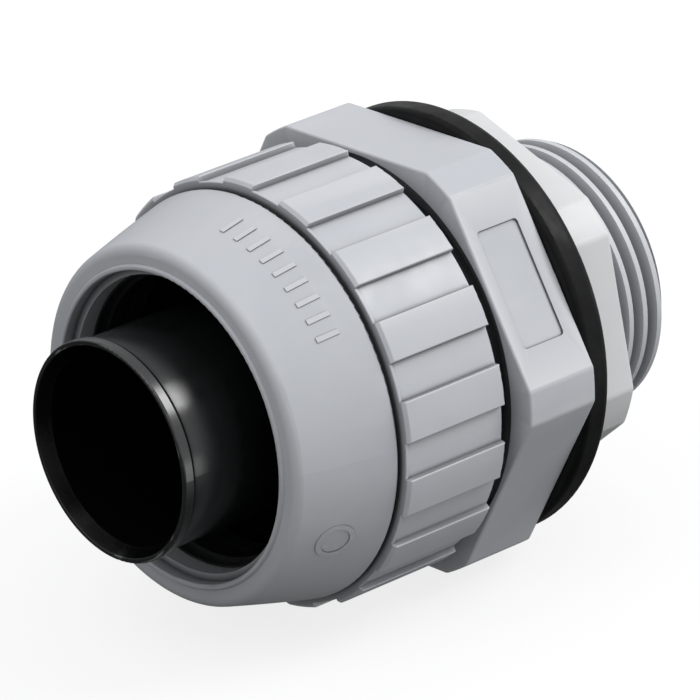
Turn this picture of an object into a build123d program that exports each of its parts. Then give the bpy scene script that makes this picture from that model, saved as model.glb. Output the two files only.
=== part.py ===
from build123d import *
import os
from math import radians, sin

# Liquid-tight conduit gland, 3/4 inch trade size, moulded in nylon, in millimetres.
# The axis of the gland is the Y axis. The entry thread points to +Y and the conduit comes
# in from -Y. The origin is the centre of the collar's sealing face, +Z is up, and one flat
# of the hexagon faces straight down. Angles round the axis are taken from +Z towards +X.

# Entry thread: 14 threads per inch, straight
ENTRY_PITCH = 1.814
ENTRY_CREST_R = 13.22
ENTRY_ROOT_R = 12.06
ENTRY_RIDGE_BASE = 1.45          # width of the ridge at its root
ENTRY_RIDGE_TIP = 0.55           # width of the ridge at its crest
ENTRY_LENGTH = 18.4
BORE_R = 9.8

# Hexagonal collar, its corners turned down to a circle
COLLAR_FLATS = 39.5
COLLAR_CORNER_D = 43.8
COLLAR_LENGTH = 8.1
COLLAR_EDGE = 0.2
RELIEF_R = 19.3                  # round recess in the face towards the nut
RELIEF_DEPTH = 2.0

# Neck thread that the compression nut runs on
NECK_PITCH = 2.5
NECK_CREST_R = 17.4
NECK_ROOT_R = 16.4
NECK_RIDGE_BASE = 1.50
NECK_RIDGE_TIP = 0.60
NECK_LENGTH = 12.5
NECK_START = -COLLAR_LENGTH      # where the neck leaves the collar
NECK_END = NECK_START - NECK_LENGTH

# Play between a thread and its nut
THREAD_PLAY_RADIAL = 0.20
THREAD_PLAY_AXIAL = 0.15

# Compression nut
NUT_LENGTH = 22.4
NUT_GAP = 1.8                    # from the nut's end to the collar, hand tight
NUT_END = -COLLAR_LENGTH - NUT_GAP
NUT_MOUTH = NUT_END - NUT_LENGTH
MOUTH_R = 14.78
MOUTH_DEPTH = 1.3                # from the rim of the mouth to its step
THROAT_R = 14.1
NUT_CAVITY_R = NECK_CREST_R + THREAD_PLAY_RADIAL
NUT_CAVITY_END = NECK_END - 2.0  # from here the cavity narrows round the stack
STACK_CAVITY_R = 16.4
NUT_BEVEL = 0.6                  # lead-in at the threaded end
NUT_THREAD_INSET = 1.4           # from the threaded end to the first turn
RIB_COUNT = 17
RIB_CREST_R = 20.5
RIB_VALLEY_R = 19.9
RIB_WIDTH_DEG = 10.7
RIB_PHASE_DEG = -2.2             # turn of the nut in its rest position
RIB_LENGTH = 11.8
RIB_BEVEL = 0.3                  # on the end of each rib that faces the dome
VALLEY_LIP = 0.12                # low lip where the skirt starts between the ribs
GROOVE_R = 18.9                  # groove between the dome and the ribs
GROOVE_WIDTH = 0.4
BEAD_R = 15.2                    # outside of the narrow bead round the mouth
NOSE_R = 16.95                   # where the dome starts
NOSE_ROUND = 1.0
NOSE_RISE = 0.25                 # how far the dome starts behind the bead
DOME_END_R = 19.5
DOME_END = NUT_END - RIB_LENGTH - GROOVE_WIDTH
SHOULDER = NUT_MOUTH + 3.0       # inner shoulder that pushes the stack
DOME_POINTS = ((NOSE_R, NUT_MOUTH + NOSE_RISE), (18.2, NUT_MOUTH + 4.9),
               (DOME_END_R, DOME_END))

# Plain marks on the dome: a band of dashes and a ring
MARK_RISE = 0.10
DASH_COUNT = 9
DASH_WIDTH = 0.5
DASH_LENGTH = 2.3
DASH_Y = NUT_MOUTH + 6.5
DASH_START_DEG = 9.0
DASH_STEP_DEG = 5.6
RING_MARK_R = 1.9
RING_MARK_DEG = 115.5
RING_MARK_Y = NUT_MOUTH + 4.8

# Locknut
LOCKNUT_FLATS = 33.6
LOCKNUT_CORNER_D = 36.7
LOCKNUT_LENGTH = 5.9
LOCKNUT_TURN_DEG = 20.0

# Entry gasket
GASKET_R = 20.9
GASKET_BORE_R = ENTRY_CREST_R + 0.3
GASKET_LENGTH = 3.0

FIT_GAP = 0.05                   # between parts seated in one another

# Ferrule, the tube that the conduit is pushed over
FERRULE_LIP_R = 10.47
FERRULE_R = 10.15
FERRULE_BORE_R = 9.3
FLARE_R = 10.0                   # the bore opens out to this at the tip
FLARE_LENGTH = 1.3
FERRULE_TIP = NUT_MOUTH - 7.06
FLANGE_R = 13.6
CAVITY_R = 13.9                  # room for the flange and the conduit's end
CAVITY_END = -6.8                # shoulder that the flange seats on
SEAT_MOUTH_R = 15.3              # tapered seat for the seal, at the neck's end
SEAT_R = 14.4
SEAT_END = -15.0

FLANGE_LENGTH = 2.7
O_RING_SECTION_R = 0.7
O_RING_CENTRE_R = CAVITY_R - FIT_GAP - O_RING_SECTION_R
O_RING_Y = CAVITY_END - 1.45

# Seal stack between the nut and the neck
CONDUIT_CLEAR_R = 13.5           # the 26.7 mm conduit passes inside this
GLAND_LENGTH = 6.4
GLAND_FLANGE_R = 16.3
STACK_TRAVEL = 2.1               # how far the nut can push the stack before it meets the seal
RING_LENGTH = 4.6
RING_R = 16.0
RING_TIP_R = 15.3                # of the fingers, where they close on the seal
RING_START = SEAT_END - GLAND_LENGTH - STACK_TRAVEL - RING_LENGTH
WASHER_R = 16.1

TURN_AXIS = Axis.Y


def turned(points, rounds=None):
    """Revolve an outline of (radius, y) points about Y; rounds gives a corner its radius."""
    outline = make_face(Polyline(*points, close=True))
    for index, radius in (rounds or {}).items():
        corner = outline.vertices().sort_by_distance(points[index])[0]
        outline = fillet(corner, radius)
    return revolve(outline, axis=TURN_AXIS)


def cross_plane(y):
    """A plane square to the gland's axis, whose angles run from +Z towards +X."""
    return Plane(origin=(0, y, 0), x_dir=(0, 0, 1), z_dir=(0, 1, 0))


def hexagon(flats, corner_d, y, length, turn_deg, edge):
    """A hexagonal prism with turned corners and rounded rims."""
    flat_sides = RegularPolygon(flats / 2, 6, major_radius=False, rotation=30 + turn_deg)
    outline = flat_sides & Circle(corner_d / 2)
    outline = fillet(outline.vertices(), 1.0)
    block = extrude(cross_plane(y) * outline, length)
    rims = block.edges().filter_by_position(TURN_AXIS, y, y)
    rims += block.edges().filter_by_position(TURN_AXIS, y + length, y + length)
    return fillet(rims, edge)


def ridge(root_r, tip_r, root_width, tip_width, pitch, y, length):
    """A helical ridge from root_r to tip_r, sunk a little into the wall it stands on."""
    sink = 0.15 if tip_r > root_r else -0.15
    flare = (root_width - tip_width) / 2 / (tip_r - root_r) * sink
    path = Helix(pitch=pitch, height=length, radius=root_r, center=(0, y, 0),
                 direction=(0, 1, 0))
    start = path @ 0
    outwards = Vector(start.X, 0, start.Z).normalized()
    section = Plane(origin=start, x_dir=outwards, z_dir=path % 0)
    rise = tip_r - root_r
    outline = Polyline((-sink, -root_width / 2 - flare), (rise, -tip_width / 2),
                       (rise, tip_width / 2), (-sink, root_width / 2 + flare), close=True)
    return sweep(section * make_face(outline), path=path, is_frenet=True)


def ridge_width(radius, root_r, tip_r, root_width, tip_width):
    """Width of a straight-sided ridge at a radius."""
    return root_width + (tip_width - root_width) * (radius - root_r) / (tip_r - root_r)


def nut_ridge(crest_r, root_r, root_width, tip_width, pitch, y, length):
    """The inner ridge that runs in the groove of an outer thread with play all round."""
    wall_r = crest_r + THREAD_PLAY_RADIAL
    tip_r = root_r + THREAD_PLAY_RADIAL
    at_wall, at_tip = (
        pitch - ridge_width(radius, root_r, crest_r, root_width, tip_width)
        - 2 * THREAD_PLAY_AXIAL for radius in (wall_r, tip_r))
    return ridge(wall_r, tip_r, at_wall, at_tip, pitch, y, length)


ENTRY_THREAD = dict(root_width=ENTRY_RIDGE_BASE, tip_width=ENTRY_RIDGE_TIP,
                    pitch=ENTRY_PITCH)
NECK_THREAD = dict(root_width=NECK_RIDGE_BASE, tip_width=NECK_RIDGE_TIP, pitch=NECK_PITCH)
ENTRY_HELIX_START = 1.9          # first turn stands clear of the collar
NECK_HELIX_START = NECK_END - 1.0


def make_body():
    """Collar, neck with its thread and tapered seal seat, entry thread and through bore."""
    inside = -COLLAR_LENGTH / 2          # the two necks meet halfway through the collar
    overrun = 4.0                        # the threads run on past their ends until cut off
    body = hexagon(COLLAR_FLATS, COLLAR_CORNER_D, NECK_START, COLLAR_LENGTH, 0, COLLAR_EDGE)
    body -= label_pockets()
    body -= rod(RELIEF_R, NECK_START - 1, NECK_START + RELIEF_DEPTH)
    body += rod(NECK_ROOT_R, NECK_END - overrun, inside)
    body += rod(ENTRY_ROOT_R, inside, ENTRY_LENGTH + overrun)
    body += ridge(NECK_ROOT_R, NECK_CREST_R, y=NECK_HELIX_START, length=NECK_LENGTH - 1.0,
                  **NECK_THREAD)
    body += ridge(ENTRY_ROOT_R, ENTRY_CREST_R, y=ENTRY_HELIX_START, length=ENTRY_LENGTH,
                  **ENTRY_THREAD)
    body -= thread_lead(ENTRY_ROOT_R, ENTRY_CREST_R, ENTRY_LENGTH, 1)
    body -= thread_lead(NECK_ROOT_R, NECK_CREST_R, NECK_END, -1)
    body -= turned([
        (0, NECK_END - 1), (SEAT_MOUTH_R, NECK_END - 1), (SEAT_MOUTH_R, NECK_END),
        (SEAT_R, SEAT_END), (CAVITY_R, SEAT_END), (CAVITY_R, CAVITY_END), (BORE_R, CAVITY_END),
        (BORE_R, ENTRY_LENGTH + 1), (0, ENTRY_LENGTH + 1)])
    return body


def rod(radius, y_low, y_high):
    """A plain cylinder along Y."""
    return extrude(cross_plane(y_low) * Circle(radius), y_high - y_low)


def thread_lead(root_r, crest_r, end, way):
    """The ring that is cut away to bevel a thread's end and square off its helix."""
    lead, beyond = 1.2, 5.0
    return turned([
        (0, end), (root_r - 0.2, end), (crest_r + 0.2, end - way * lead),
        (crest_r + 3, end - way * lead), (crest_r + 3, end + way * beyond),
        (0, end + way * beyond)])


def label_pockets():
    """Shallow blank pockets for a label, cut in two opposite flats of the collar."""
    pocket_width, pocket_length, pocket_depth = 11.4, 5.0, 0.2
    pocket_y = -4.25
    pockets = []
    for angle in (60, 240):
        pocket = Box(pocket_width, pocket_length, 2 * pocket_depth)
        pocket = fillet(pocket.edges().filter_by(Axis.Z), 0.4)
        pockets.append(Rot(0, angle, 0) * Pos(0, pocket_y, COLLAR_FLATS / 2) * pocket)
    return pockets


def dome_outline():
    """The nut's domed nose, from the rim of its mouth to the groove before the ribs."""
    return ThreePointArc(*DOME_POINTS)


def make_nut_shell():
    """The nut without its ribs and marks: stepped mouth, dome, groove and plain skirt."""
    skirt = NUT_END - RIB_LENGTH
    lip_r, lip_end = RIB_VALLEY_R + VALLEY_LIP, skirt + 0.3
    mouth_step = NUT_MOUTH + MOUTH_DEPTH
    nose = NUT_MOUTH + NOSE_RISE
    outline = [
        dome_outline(),
        Polyline((DOME_END_R, DOME_END), (GROOVE_R, DOME_END), (GROOVE_R, skirt),
                 (lip_r, skirt), (lip_r, lip_end), (RIB_VALLEY_R, lip_end + VALLEY_LIP),
                 (RIB_VALLEY_R, NUT_END), (NUT_CAVITY_R + NUT_BEVEL, NUT_END),
                 (NUT_CAVITY_R, NUT_END - NUT_BEVEL), (NUT_CAVITY_R, NUT_CAVITY_END),
                 (STACK_CAVITY_R, NUT_CAVITY_END - 0.8), (STACK_CAVITY_R, SHOULDER),
                 (THROAT_R, SHOULDER), (THROAT_R, mouth_step), (MOUTH_R, mouth_step),
                 (MOUTH_R, NUT_MOUTH), (BEAD_R, NUT_MOUTH), (BEAD_R + 0.15, nose),
                 (NOSE_R, nose)),
    ]
    face = make_face(outline)
    softened = {(MOUTH_R, NUT_MOUTH): 0.2, (BEAD_R, NUT_MOUTH): 0.15,
                (NOSE_R, nose): NOSE_ROUND, (DOME_END_R, DOME_END): 0.2, (lip_r, skirt): 0.1}
    for corner, radius in softened.items():
        face = fillet(face.vertices().sort_by_distance(corner)[0], radius)
    return revolve(face, axis=TURN_AXIS)


def make_rib():
    """One raised rib of the nut's skirt, with softened edges, at angle zero."""
    sunk, edge = 0.6, 0.12
    start = NUT_END - RIB_LENGTH
    width = 2 * RIB_CREST_R * sin(radians(RIB_WIDTH_DEG / 2))
    section = Circle(RIB_CREST_R) - Circle(RIB_VALLEY_R - sunk)
    section &= Pos(RIB_CREST_R, 0) * Rectangle(6, width)
    rib = extrude(cross_plane(start) * section, RIB_LENGTH)
    rib = chamfer(rib.edges().sort_by_distance((0, start, RIB_CREST_R))[0], RIB_BEVEL)
    crest = rib.faces().sort_by_distance((0, start + RIB_LENGTH / 2, RIB_CREST_R))[0]
    return fillet(crest.edges(), edge)


def dome_marks():
    """A band of plain raised dashes and a plain ring, which follow the dome's surface."""
    skin_low = offset_dome(-0.5)
    skin_high = offset_dome(MARK_RISE)
    stencils = []
    for index in range(DASH_COUNT):
        dash = Pos(0, DASH_Y, DOME_END_R) * Box(DASH_WIDTH, DASH_LENGTH, 8)
        stencils.append(Rot(0, DASH_START_DEG + index * DASH_STEP_DEG, 0) * dash)
    ring = Cylinder(RING_MARK_R, 8) - Cylinder(RING_MARK_R - DASH_WIDTH, 8)
    stencils.append(Rot(0, RING_MARK_DEG, 0) * Pos(0, RING_MARK_Y, DOME_END_R) * ring)
    return [(stencil & skin_high) - skin_low for stencil in stencils]


def offset_dome(rise):
    """The solid inside the dome's surface moved outwards by rise."""
    low, middle, high = ((radius + rise, y) for radius, y in DOME_POINTS)
    curve = ThreePointArc(low, middle, high)
    ends = Polyline(high, (0, high[1]), (0, low[1]), low)
    return revolve(make_face([curve, ends]), axis=TURN_AXIS)


def make_compression_nut():
    """Domed, ribbed nut with its thread and the plain marks on its dome."""
    nut = make_nut_shell()
    nut += dome_marks()
    rib = make_rib()
    step = 360 / RIB_COUNT
    for index in range(RIB_COUNT):
        nut += Rot(0, RIB_PHASE_DEG + index * step, 0) * rib
    thread_start = NECK_HELIX_START + NECK_PITCH / 2
    thread_end = NUT_END - NUT_THREAD_INSET
    nut += nut_ridge(NECK_CREST_R, NECK_ROOT_R, y=thread_start,
                     length=thread_end - thread_start, **NECK_THREAD)
    return nut


def make_ferrule():
    """Tube with a rolled lip at its tip and a grooved flange at its foot."""
    foot = CAVITY_END - FIT_GAP * 2
    flange_back = foot - FLANGE_LENGTH
    groove_low = O_RING_Y - O_RING_SECTION_R - FIT_GAP
    groove_high = O_RING_Y + O_RING_SECTION_R + FIT_GAP
    groove_r = O_RING_CENTRE_R - O_RING_SECTION_R - FIT_GAP
    lip_end = FERRULE_TIP + 1.1
    return turned([
        (FLARE_R, FERRULE_TIP), (FERRULE_LIP_R, FERRULE_TIP), (FERRULE_LIP_R, lip_end),
        (FERRULE_R, lip_end + 0.35), (FERRULE_R, flange_back), (FLANGE_R, flange_back),
        (FLANGE_R, groove_low), (groove_r, groove_low), (groove_r, groove_high),
        (FLANGE_R, groove_high), (FLANGE_R, foot), (FERRULE_BORE_R, foot),
        (FERRULE_BORE_R, FERRULE_TIP + FLARE_LENGTH)],
        {0: 0.15, 1: 0.2, 2: 0.3, 4: 0.6, 5: 0.2, 10: 0.2})


def make_ferrule_o_ring():
    """O-ring round the ferrule's flange."""
    return revolve(Pos(O_RING_CENTRE_R, O_RING_Y) * Circle(O_RING_SECTION_R), axis=TURN_AXIS)


def make_sealing_gland():
    """Rubber seal with a tapered body in the neck's seat, a flange and two inner lips."""
    back = SEAT_END - FIT_GAP
    front = NECK_END - FIT_GAP
    nose = back - GLAND_LENGTH
    lip_r, valley_r = CONDUIT_CLEAR_R, CONDUIT_CLEAR_R + 0.3
    return turned([
        (lip_r, nose), (GLAND_FLANGE_R, nose), (GLAND_FLANGE_R, front),
        (SEAT_MOUTH_R - FIT_GAP, front),
        (SEAT_R - FIT_GAP, back), (lip_r + 0.2, back), (lip_r, back - 1.2),
        (valley_r, back - 2.0), (lip_r, back - 2.8), (lip_r, back - 3.6),
        (valley_r, back - 4.4), (lip_r, back - 5.2)], {1: 0.25})


def make_grip_ring():
    """Ring of sprung fingers with teeth inside, which the nut closes on the conduit."""
    back = RING_START + RING_LENGTH
    tooth_r, gullet_r = CONDUIT_CLEAR_R, CONDUIT_CLEAR_R + 0.35
    ring = turned([
        (tooth_r, RING_START), (RING_R, RING_START), (RING_R, back - 2.0),
        (RING_TIP_R, back), (gullet_r, back), (gullet_r, back - 0.5),
        (tooth_r, back - 0.7), (gullet_r, back - 1.7), (tooth_r, back - 1.9),
        (gullet_r, back - 2.9), (tooth_r, back - 3.1)])
    slot_width, slot_count, root = 1.3, 12, 1.5
    slot = Pos(0, RING_START + root + RING_LENGTH / 2, RING_R - 1) * Box(
        slot_width, RING_LENGTH, 8)
    for index in range(slot_count):
        ring -= Rot(0, (index + 0.5) * 360 / slot_count, 0) * slot
    return ring


def make_thrust_washer():
    """Thin washer that lets the nut turn on the grip ring."""
    start, end = SHOULDER + FIT_GAP, RING_START
    bore_r = CONDUIT_CLEAR_R + 0.4
    return turned([(bore_r, start), (WASHER_R, start), (WASHER_R, end), (bore_r, end)])


def make_entry_gasket():
    """Flat rubber washer that seals the collar's face against the enclosure's wall."""
    return turned([
        (GASKET_BORE_R, 0), (GASKET_R, 0), (GASKET_R, GASKET_LENGTH),
        (GASKET_BORE_R, GASKET_LENGTH)], {1: 0.6, 2: 0.9})


def make_locknut():
    """Hexagonal locknut with turned corners and its own thread, bevelled at both faces."""
    low, high = GASKET_LENGTH, GASKET_LENGTH + LOCKNUT_LENGTH
    overrun = 4.0
    bore_r = ENTRY_CREST_R + THREAD_PLAY_RADIAL
    sleeve_r, socket_r = bore_r + 1.6, bore_r + 1.2
    sleeve = rod(sleeve_r, low - overrun, high + overrun)
    sleeve -= rod(bore_r, low - overrun - 1, high + overrun + 1)
    thread_start = ENTRY_HELIX_START - ENTRY_PITCH / 2
    sleeve += nut_ridge(ENTRY_CREST_R, ENTRY_ROOT_R, y=thread_start,
                        length=high + 1.5 - thread_start, **ENTRY_THREAD)
    for face, way in ((low, -1), (high, 1)):
        sleeve -= bevel_cut(bore_r, sleeve_r, face, way, overrun)
    nut = hexagon(LOCKNUT_FLATS, LOCKNUT_CORNER_D, low, LOCKNUT_LENGTH, LOCKNUT_TURN_DEG, 0.35)
    nut -= rod(socket_r, low - 1, high + 1)
    return nut + sleeve


def bevel_cut(bore_r, sleeve_r, face, way, overrun):
    """What is cut from a threaded sleeve to end it at a face with a bevelled mouth."""
    mouth_r, bevel = bore_r + 0.2, 1.4
    far = face + way * (overrun + 1)
    return turned([
        (0, far), (sleeve_r + 1, far), (sleeve_r + 1, face), (mouth_r, face),
        (mouth_r - bevel, face - way * bevel), (0, face - way * bevel)])


PARTS = {
    "body": make_body,
    "ferrule": make_ferrule,
    "ferrule_o_ring": make_ferrule_o_ring,
    "sealing_gland": make_sealing_gland,
    "grip_ring": make_grip_ring,
    "thrust_washer": make_thrust_washer,
    "compression_nut": make_compression_nut,
    "entry_gasket": make_entry_gasket,
    "locknut": make_locknut,
}

if __name__ == "__main__":
    os.makedirs("parts", exist_ok=True)
    for name, make in PARTS.items():
        export_step(make(), f"parts/{name}.step")
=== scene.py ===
from math import cos, radians, sin

import bpy
from mathutils import Matrix, Vector


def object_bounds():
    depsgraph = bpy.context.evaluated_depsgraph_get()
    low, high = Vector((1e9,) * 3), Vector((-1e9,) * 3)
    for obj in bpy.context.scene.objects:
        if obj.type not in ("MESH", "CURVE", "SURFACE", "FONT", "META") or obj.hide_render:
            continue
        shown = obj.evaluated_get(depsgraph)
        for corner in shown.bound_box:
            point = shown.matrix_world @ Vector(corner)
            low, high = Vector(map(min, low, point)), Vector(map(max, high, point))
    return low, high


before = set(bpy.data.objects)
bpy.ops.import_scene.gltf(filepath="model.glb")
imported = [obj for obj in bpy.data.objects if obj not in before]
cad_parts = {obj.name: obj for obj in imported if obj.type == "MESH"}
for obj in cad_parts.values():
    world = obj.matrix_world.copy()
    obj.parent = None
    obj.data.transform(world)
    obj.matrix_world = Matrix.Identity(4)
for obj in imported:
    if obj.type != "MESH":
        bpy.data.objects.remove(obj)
cad_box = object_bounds()

# Colours are linear RGB and lengths are metres.
MOULDED_GREY = (0.555, 0.573, 0.603)
MOULDED_GREY_CLOUD = (0.59, 0.605, 0.635)
# Lighter greys for the flow streaks and for a painted highlight on convex edges.
BODY_STREAK_AND_EDGE_HIGHLIGHT = (0.70, 0.71, 0.73)
NUT_STREAK_AND_EDGE_HIGHLIGHT = (0.64, 0.65, 0.675)
LOCKNUT_GREY = (0.74, 0.745, 0.75)
LOCKNUT_CLOUD = (0.78, 0.78, 0.785)
# Lighter grey for the locknut's flow streaks and its painted edge highlight.
LOCKNUT_STREAK_AND_EDGE_HIGHLIGHT = (0.86, 0.86, 0.86)
GROOVE_REACH = 0.0015               # how far a groove's walls reach for the painted groove shade
BORE_REACH = 0.03                   # how far a bore's walls reach for the painted bore shade
GROOVE_SHADE_SHARE = 0.45                  # share of the colour left in a groove, as painted shade
BORE_SHADE = 0.10                   # share of the colour left deep inside, as painted shade
COLLAR_FACE_Y = 0.0                 # the entry thread starts here
THREAD_SHADE_SPARED = 0.45                 # how much of the painted shade the entry thread is spared
FLOOR_HALF_SIZE = 6.0
FLOOR_GREY = 0.22
FLOOR_GLOW = 0.80

# ---------------------------------------------------------------- camera
# The gland lies on its side with its axis along Y. The camera stands well back with a long
# lens, on the conduit side, a little above the gland and slightly rolled.
SENSOR_MM = 36.0
LENS_MM = 334.3
CAMERA_DISTANCE = 0.583
CAMERA_AZIMUTH = 48.64
CAMERA_ELEVATION = 22.33
CAMERA_ROLL = -3.15
AIM = Vector((0.0093, -0.0182, 0.0057))


def make_camera():
    azimuth, elevation = radians(CAMERA_AZIMUTH), radians(CAMERA_ELEVATION)
    back = Vector((sin(azimuth) * cos(elevation), -cos(azimuth) * cos(elevation),
                   sin(elevation)))
    data = bpy.data.cameras.new("camera")
    data.lens = LENS_MM
    data.sensor_width = SENSOR_MM
    data.clip_start = 0.01
    data.clip_end = 20.0
    camera = bpy.data.objects.new("camera", data)
    bpy.context.scene.collection.objects.link(camera)
    turn = back.to_track_quat("Z", "Y").to_matrix().to_4x4()
    roll = Matrix.Rotation(radians(CAMERA_ROLL), 4, "Z")
    camera.matrix_world = Matrix.Translation(AIM + back * CAMERA_DISTANCE) @ turn @ roll
    bpy.context.scene.camera = camera


# ---------------------------------------------------------------- material helpers
def new_material(name):
    material = bpy.data.materials.new(name)
    material.use_nodes = True
    nodes = material.node_tree.nodes
    nodes.clear()
    output = nodes.new("ShaderNodeOutputMaterial")
    shader = nodes.new("ShaderNodeBsdfPrincipled")
    material.node_tree.links.new(shader.outputs["BSDF"], output.inputs["Surface"])
    return material, shader


def noise(tree, scale, detail=3.0, roughness=0.5, stretch=None):
    """A noise texture in object space, optionally stretched along an axis."""
    coords = tree.nodes.new("ShaderNodeTexCoord")
    texture = tree.nodes.new("ShaderNodeTexNoise")
    texture.inputs["Scale"].default_value = scale
    texture.inputs["Detail"].default_value = detail
    texture.inputs["Roughness"].default_value = roughness
    source = coords.outputs["Object"]
    if stretch:
        mapping = tree.nodes.new("ShaderNodeMapping")
        mapping.inputs["Scale"].default_value = stretch
        tree.links.new(source, mapping.inputs["Vector"])
        source = mapping.outputs["Vector"]
    tree.links.new(source, texture.inputs["Vector"])
    return texture.outputs["Fac"]


def ramp(tree, factor, stops):
    """A colour ramp with (position, colour or grey value) stops."""
    node = tree.nodes.new("ShaderNodeValToRGB")
    elements = node.color_ramp.elements
    while len(elements) < len(stops):
        elements.new(0.5)
    for element, (position, colour) in zip(elements, stops):
        element.position = position
        if isinstance(colour, (int, float)):
            colour = (colour, colour, colour)
        element.color = (*colour, 1.0)
    tree.links.new(factor, node.inputs["Fac"])
    return node.outputs["Color"]


def blend_colour(tree, factor, low, high):
    """Mix two colours, each a socket or an RGB tuple, by a factor socket or number."""
    node = tree.nodes.new("ShaderNodeMix")
    node.data_type = "RGBA"
    for value, socket in ((factor, node.inputs[0]), (low, node.inputs[6]),
                          (high, node.inputs[7])):
        if isinstance(value, bpy.types.NodeSocket):
            tree.links.new(value, socket)
        elif isinstance(value, (int, float)):
            socket.default_value = value
        else:
            socket.default_value = (*value, 1.0)
    return node.outputs[2]


def bump(tree, shader, height_inputs):
    """Chain bumps of (height socket, strength, distance in metres) into the shader."""
    normal = None
    for height, strength, distance in height_inputs:
        node = tree.nodes.new("ShaderNodeBump")
        node.inputs["Strength"].default_value = strength
        node.inputs["Distance"].default_value = distance
        tree.links.new(height, node.inputs["Height"])
        if normal is not None:
            tree.links.new(normal, node.inputs["Normal"])
        normal = node.outputs["Normal"]
    tree.links.new(normal, shader.inputs["Normal"])


def hollow_mask(tree, reach, low, high):
    """Black deep in the piece's own grooves and corners, white on open surface."""
    nearby = tree.nodes.new("ShaderNodeAmbientOcclusion")
    nearby.samples = 8
    nearby.only_local = True
    nearby.inputs["Distance"].default_value = reach
    return ramp(tree, nearby.outputs["AO"], [(low, 0.0), (high, 1.0)])


def along_axis(tree, start, end, most):
    """Black before one place on the gland's axis, rising to a grey value at the other."""
    coords = tree.nodes.new("ShaderNodeTexCoord")
    split = tree.nodes.new("ShaderNodeSeparateXYZ")
    tree.links.new(coords.outputs["Object"], split.inputs["Vector"])
    fade = tree.nodes.new("ShaderNodeMapRange")
    fade.inputs["From Min"].default_value = start
    fade.inputs["From Max"].default_value = end
    fade.inputs["To Max"].default_value = most
    tree.links.new(split.outputs["Y"], fade.inputs["Value"])
    return fade.outputs["Result"]


def edge_mask(tree, low, high):
    """White on convex edges and black on flat or hollow surface."""
    geometry = tree.nodes.new("ShaderNodeNewGeometry")
    return ramp(tree, geometry.outputs["Pointiness"], [(low, 0.0), (high, 1.0)])


# ---------------------------------------------------------------- materials
def nylon(name, colour, cloud, streak_and_edge_highlight):
    """Satin moulded nylon: faint clouding, fine sparked-mould grain, a painted highlight on
    convex edges, and painted shade in grooves and deep in bores, with less of it on the
    entry thread."""
    material, shader = new_material(name)
    tree = material.node_tree
    clouds = noise(tree, 90.0, detail=4.0)
    base = blend_colour(tree, ramp(tree, clouds, [(0.35, 0.0), (0.65, 1.0)]), colour, cloud)
    flow = noise(tree, 260.0, detail=2.0, stretch=(1.0, 0.25, 1.0))
    base = blend_colour(tree, ramp(tree, flow, [(0.60, 0.0), (0.80, 0.35)]), base, streak_and_edge_highlight)
    # Painted highlight: convex edges lightened towards the streak colour.
    base = blend_colour(tree, edge_mask(tree, 0.52, 0.60), base, streak_and_edge_highlight)
    # Painted shade: colour darkened in the piece's own grooves and deep in its bores.
    groove_shade_colour = tuple(channel * GROOVE_SHADE_SHARE for channel in colour)
    shaded_base = blend_colour(tree, hollow_mask(tree, GROOVE_REACH, 0.45, 0.85), groove_shade_colour, base)
    bore_shade_colour = tuple(channel * BORE_SHADE for channel in colour)
    shaded_base = blend_colour(tree, hollow_mask(tree, BORE_REACH, 0.30, 0.80), bore_shade_colour, shaded_base)
    # Less painted shade on the entry thread, past the collar face.
    spared = along_axis(tree, COLLAR_FACE_Y, COLLAR_FACE_Y + 0.001, THREAD_SHADE_SPARED)
    base = blend_colour(tree, spared, shaded_base, base)
    tree.links.new(base, shader.inputs["Base Color"])
    gloss = noise(tree, 420.0, detail=3.0)
    tree.links.new(ramp(tree, gloss, [(0.3, 0.36), (0.7, 0.50)]), shader.inputs["Roughness"])
    shader.inputs["Specular IOR Level"].default_value = 0.5
    shader.inputs["Subsurface Weight"].default_value = 0.06
    shader.inputs["Subsurface Radius"].default_value = (0.0012, 0.0012, 0.0012)
    shader.inputs["Subsurface Scale"].default_value = 1.0
    grain = noise(tree, 5200.0, detail=2.0)
    ripple = noise(tree, 650.0, detail=2.0)
    bump(tree, shader, [(ripple, 0.25, 0.00004), (grain, 0.35, 0.000012)])
    return material


def glossy_black(name):
    """Polished black plastic with faint drawn lines along the tube, a painted highlight on
    convex edges, and a bore darkened with painted shade and dulled.
    """
    material, shader = new_material(name)
    tree = material.node_tree
    haze = noise(tree, 130.0, detail=4.0)
    base = ramp(tree, haze, [(0.3, (0.0035, 0.0038, 0.004)), (0.7, (0.007, 0.0085, 0.0085))])
    # Painted highlight: convex edges such as the lip lightened to grey.
    base = blend_colour(tree, edge_mask(tree, 0.53, 0.60), base, (0.20, 0.205, 0.205))
    # Painted shade: colour darkened deep inside the bore.
    outside = hollow_mask(tree, BORE_REACH, 0.78, 0.98)
    base = blend_colour(tree, outside, (0.002, 0.0022, 0.0022), base)
    tree.links.new(base, shader.inputs["Base Color"])
    streaks = noise(tree, 900.0, detail=2.0, stretch=(1.0, 0.06, 1.0))
    tree.links.new(ramp(tree, streaks, [(0.3, 0.21), (0.7, 0.26)]),
                   shader.inputs["Roughness"])
    tree.links.new(ramp(tree, outside, [(0.0, 0.04), (1.0, 1.0)]),
                   shader.inputs["Specular IOR Level"])
    ripple = noise(tree, 380.0, detail=2.0)
    bump(tree, shader, [(ripple, 0.2, 0.00003), (streaks, 0.06, 0.000008)])
    return material


def black_plastic(name):
    """Satin black moulded plastic of the inner rings."""
    material, shader = new_material(name)
    tree = material.node_tree
    haze = noise(tree, 200.0, detail=3.0)
    tree.links.new(ramp(tree, haze, [(0.3, (0.008, 0.009, 0.009)),
                                     (0.7, (0.016, 0.019, 0.018))]),
                   shader.inputs["Base Color"])
    tree.links.new(ramp(tree, noise(tree, 700.0), [(0.3, 0.30), (0.7, 0.44)]),
                   shader.inputs["Roughness"])
    bump(tree, shader, [(noise(tree, 4200.0), 0.3, 0.00001)])
    return material


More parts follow.
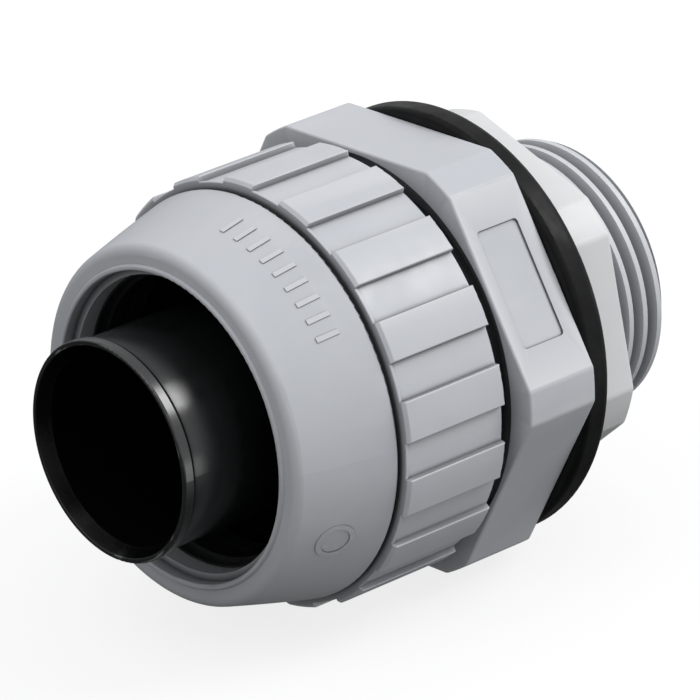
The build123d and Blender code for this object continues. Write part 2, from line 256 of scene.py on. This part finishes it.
def rubber(name):
    """Smooth black rubber with dust in its grain and a faint sheen."""
    material, shader = new_material(name)
    tree = material.node_tree
    dust = noise(tree, 340.0, detail=5.0, roughness=0.65)
    tree.links.new(ramp(tree, dust, [(0.42, (0.0018, 0.0018, 0.002)),
                                     (0.80, (0.008, 0.0083, 0.0087))]),
                   shader.inputs["Base Color"])
    tree.links.new(ramp(tree, noise(tree, 520.0), [(0.3, 0.38), (0.7, 0.55)]),
                   shader.inputs["Roughness"])
    shader.inputs["Specular IOR Level"].default_value = 0.18
    shader.inputs["Sheen Weight"].default_value = 0.02
    shader.inputs["Sheen Roughness"].default_value = 0.5
    bump(tree, shader, [(noise(tree, 900.0), 0.25, 0.00003),
                        (noise(tree, 6000.0), 0.3, 0.000008)])
    return material


def give(nodes, material):
    """Put one material on every slot of the named CAD nodes."""
    for name in nodes:
        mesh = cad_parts[name].data
        mesh.materials.clear()
        mesh.materials.append(material)


def finish_surfaces():
    give(["body"], nylon("body_nylon", MOULDED_GREY, MOULDED_GREY_CLOUD, BODY_STREAK_AND_EDGE_HIGHLIGHT))
    give(["compression_nut"], nylon("nut_nylon", MOULDED_GREY, MOULDED_GREY_CLOUD, NUT_STREAK_AND_EDGE_HIGHLIGHT))
    give(["locknut"], nylon("locknut_nylon", LOCKNUT_GREY, LOCKNUT_CLOUD, LOCKNUT_STREAK_AND_EDGE_HIGHLIGHT))
    give(["ferrule"], glossy_black("ferrule_plastic"))
    give(["grip_ring", "thrust_washer"], black_plastic("ring_plastic"))
    give(["ferrule_o_ring", "sealing_gland"], rubber("seal_rubber"))
    give(["entry_gasket"], rubber("gasket_rubber"))


# ---------------------------------------------------------------- studio
def make_floor():
    size = FLOOR_HALF_SIZE
    floor_z = cad_box[0][2]
    mesh = bpy.data.meshes.new("floor")
    corners = [(-size, -size, floor_z), (size, -size, floor_z), (size, size, floor_z),
               (-size, size, floor_z)]
    mesh.from_pydata(corners, [], [(0, 1, 2, 3)])
    floor = bpy.data.objects.new("floor", mesh)
    bpy.context.scene.collection.objects.link(floor)
    material, shader = new_material("pale_floor")
    shader.inputs["Base Color"].default_value = (FLOOR_GREY, FLOOR_GREY, FLOOR_GREY, 1.0)
    shader.inputs["Emission Color"].default_value = (1.0, 1.0, 1.0, 1.0)
    shader.inputs["Emission Strength"].default_value = FLOOR_GLOW
    shader.inputs["Roughness"].default_value = 0.9
    shader.inputs["Specular IOR Level"].default_value = 0.1
    mesh.materials.append(material)
    floor.visible_diffuse = False
    floor.visible_glossy = False
    floor.visible_shadow = False


def area_light(name, direction, distance, size, watts):
    """A round softbox that faces the gland from the given direction."""
    data = bpy.data.lights.new(name, "AREA")
    data.shape = "DISK"
    data.size = size
    data.energy = watts
    light = bpy.data.objects.new(name, data)
    bpy.context.scene.collection.objects.link(light)
    towards = Vector(direction).normalized()
    light.location = AIM + towards * distance
    light.rotation_euler = towards.to_track_quat("Z", "Y").to_euler()


def make_world():
    """White studio walls above and behind, over a shaded table in front."""
    world = bpy.data.worlds.new("studio")
    world.use_nodes = True
    tree = world.node_tree
    coords = tree.nodes.new("ShaderNodeTexCoord")
    tilt = tree.nodes.new("ShaderNodeVectorMath")
    tilt.operation = "DOT_PRODUCT"
    tilt.inputs[1].default_value = Vector((0.22, 0.22, 0.95)).normalized()
    tree.links.new(coords.outputs["Generated"], tilt.inputs[0])
    height = tree.nodes.new("ShaderNodeMapRange")
    height.inputs["From Min"].default_value = -1.0
    tree.links.new(tilt.outputs["Value"], height.inputs["Value"])
    shade = ramp(tree, height.outputs["Result"],
                 [(0.33, (0.085, 0.088, 0.085)), (0.62, (0.75, 0.755, 0.77))])
    tree.links.new(shade, tree.nodes["Background"].inputs["Color"])
    bpy.context.scene.world = world


def make_lights():
    bpy.context.scene.view_settings.view_transform = "Standard"
    make_world()
    area_light("window", (0.45, 0.59, 0.67), 0.7, 0.28, 1.55)
    area_light("front_fill", (0.1, -0.55, 0.95), 0.9, 0.5, 0.7)
    area_light("low_card", (0.76, 0.59, -0.26), 0.6, 0.16, 0.10)


make_camera()
finish_surfaces()
make_floor()
make_lights()
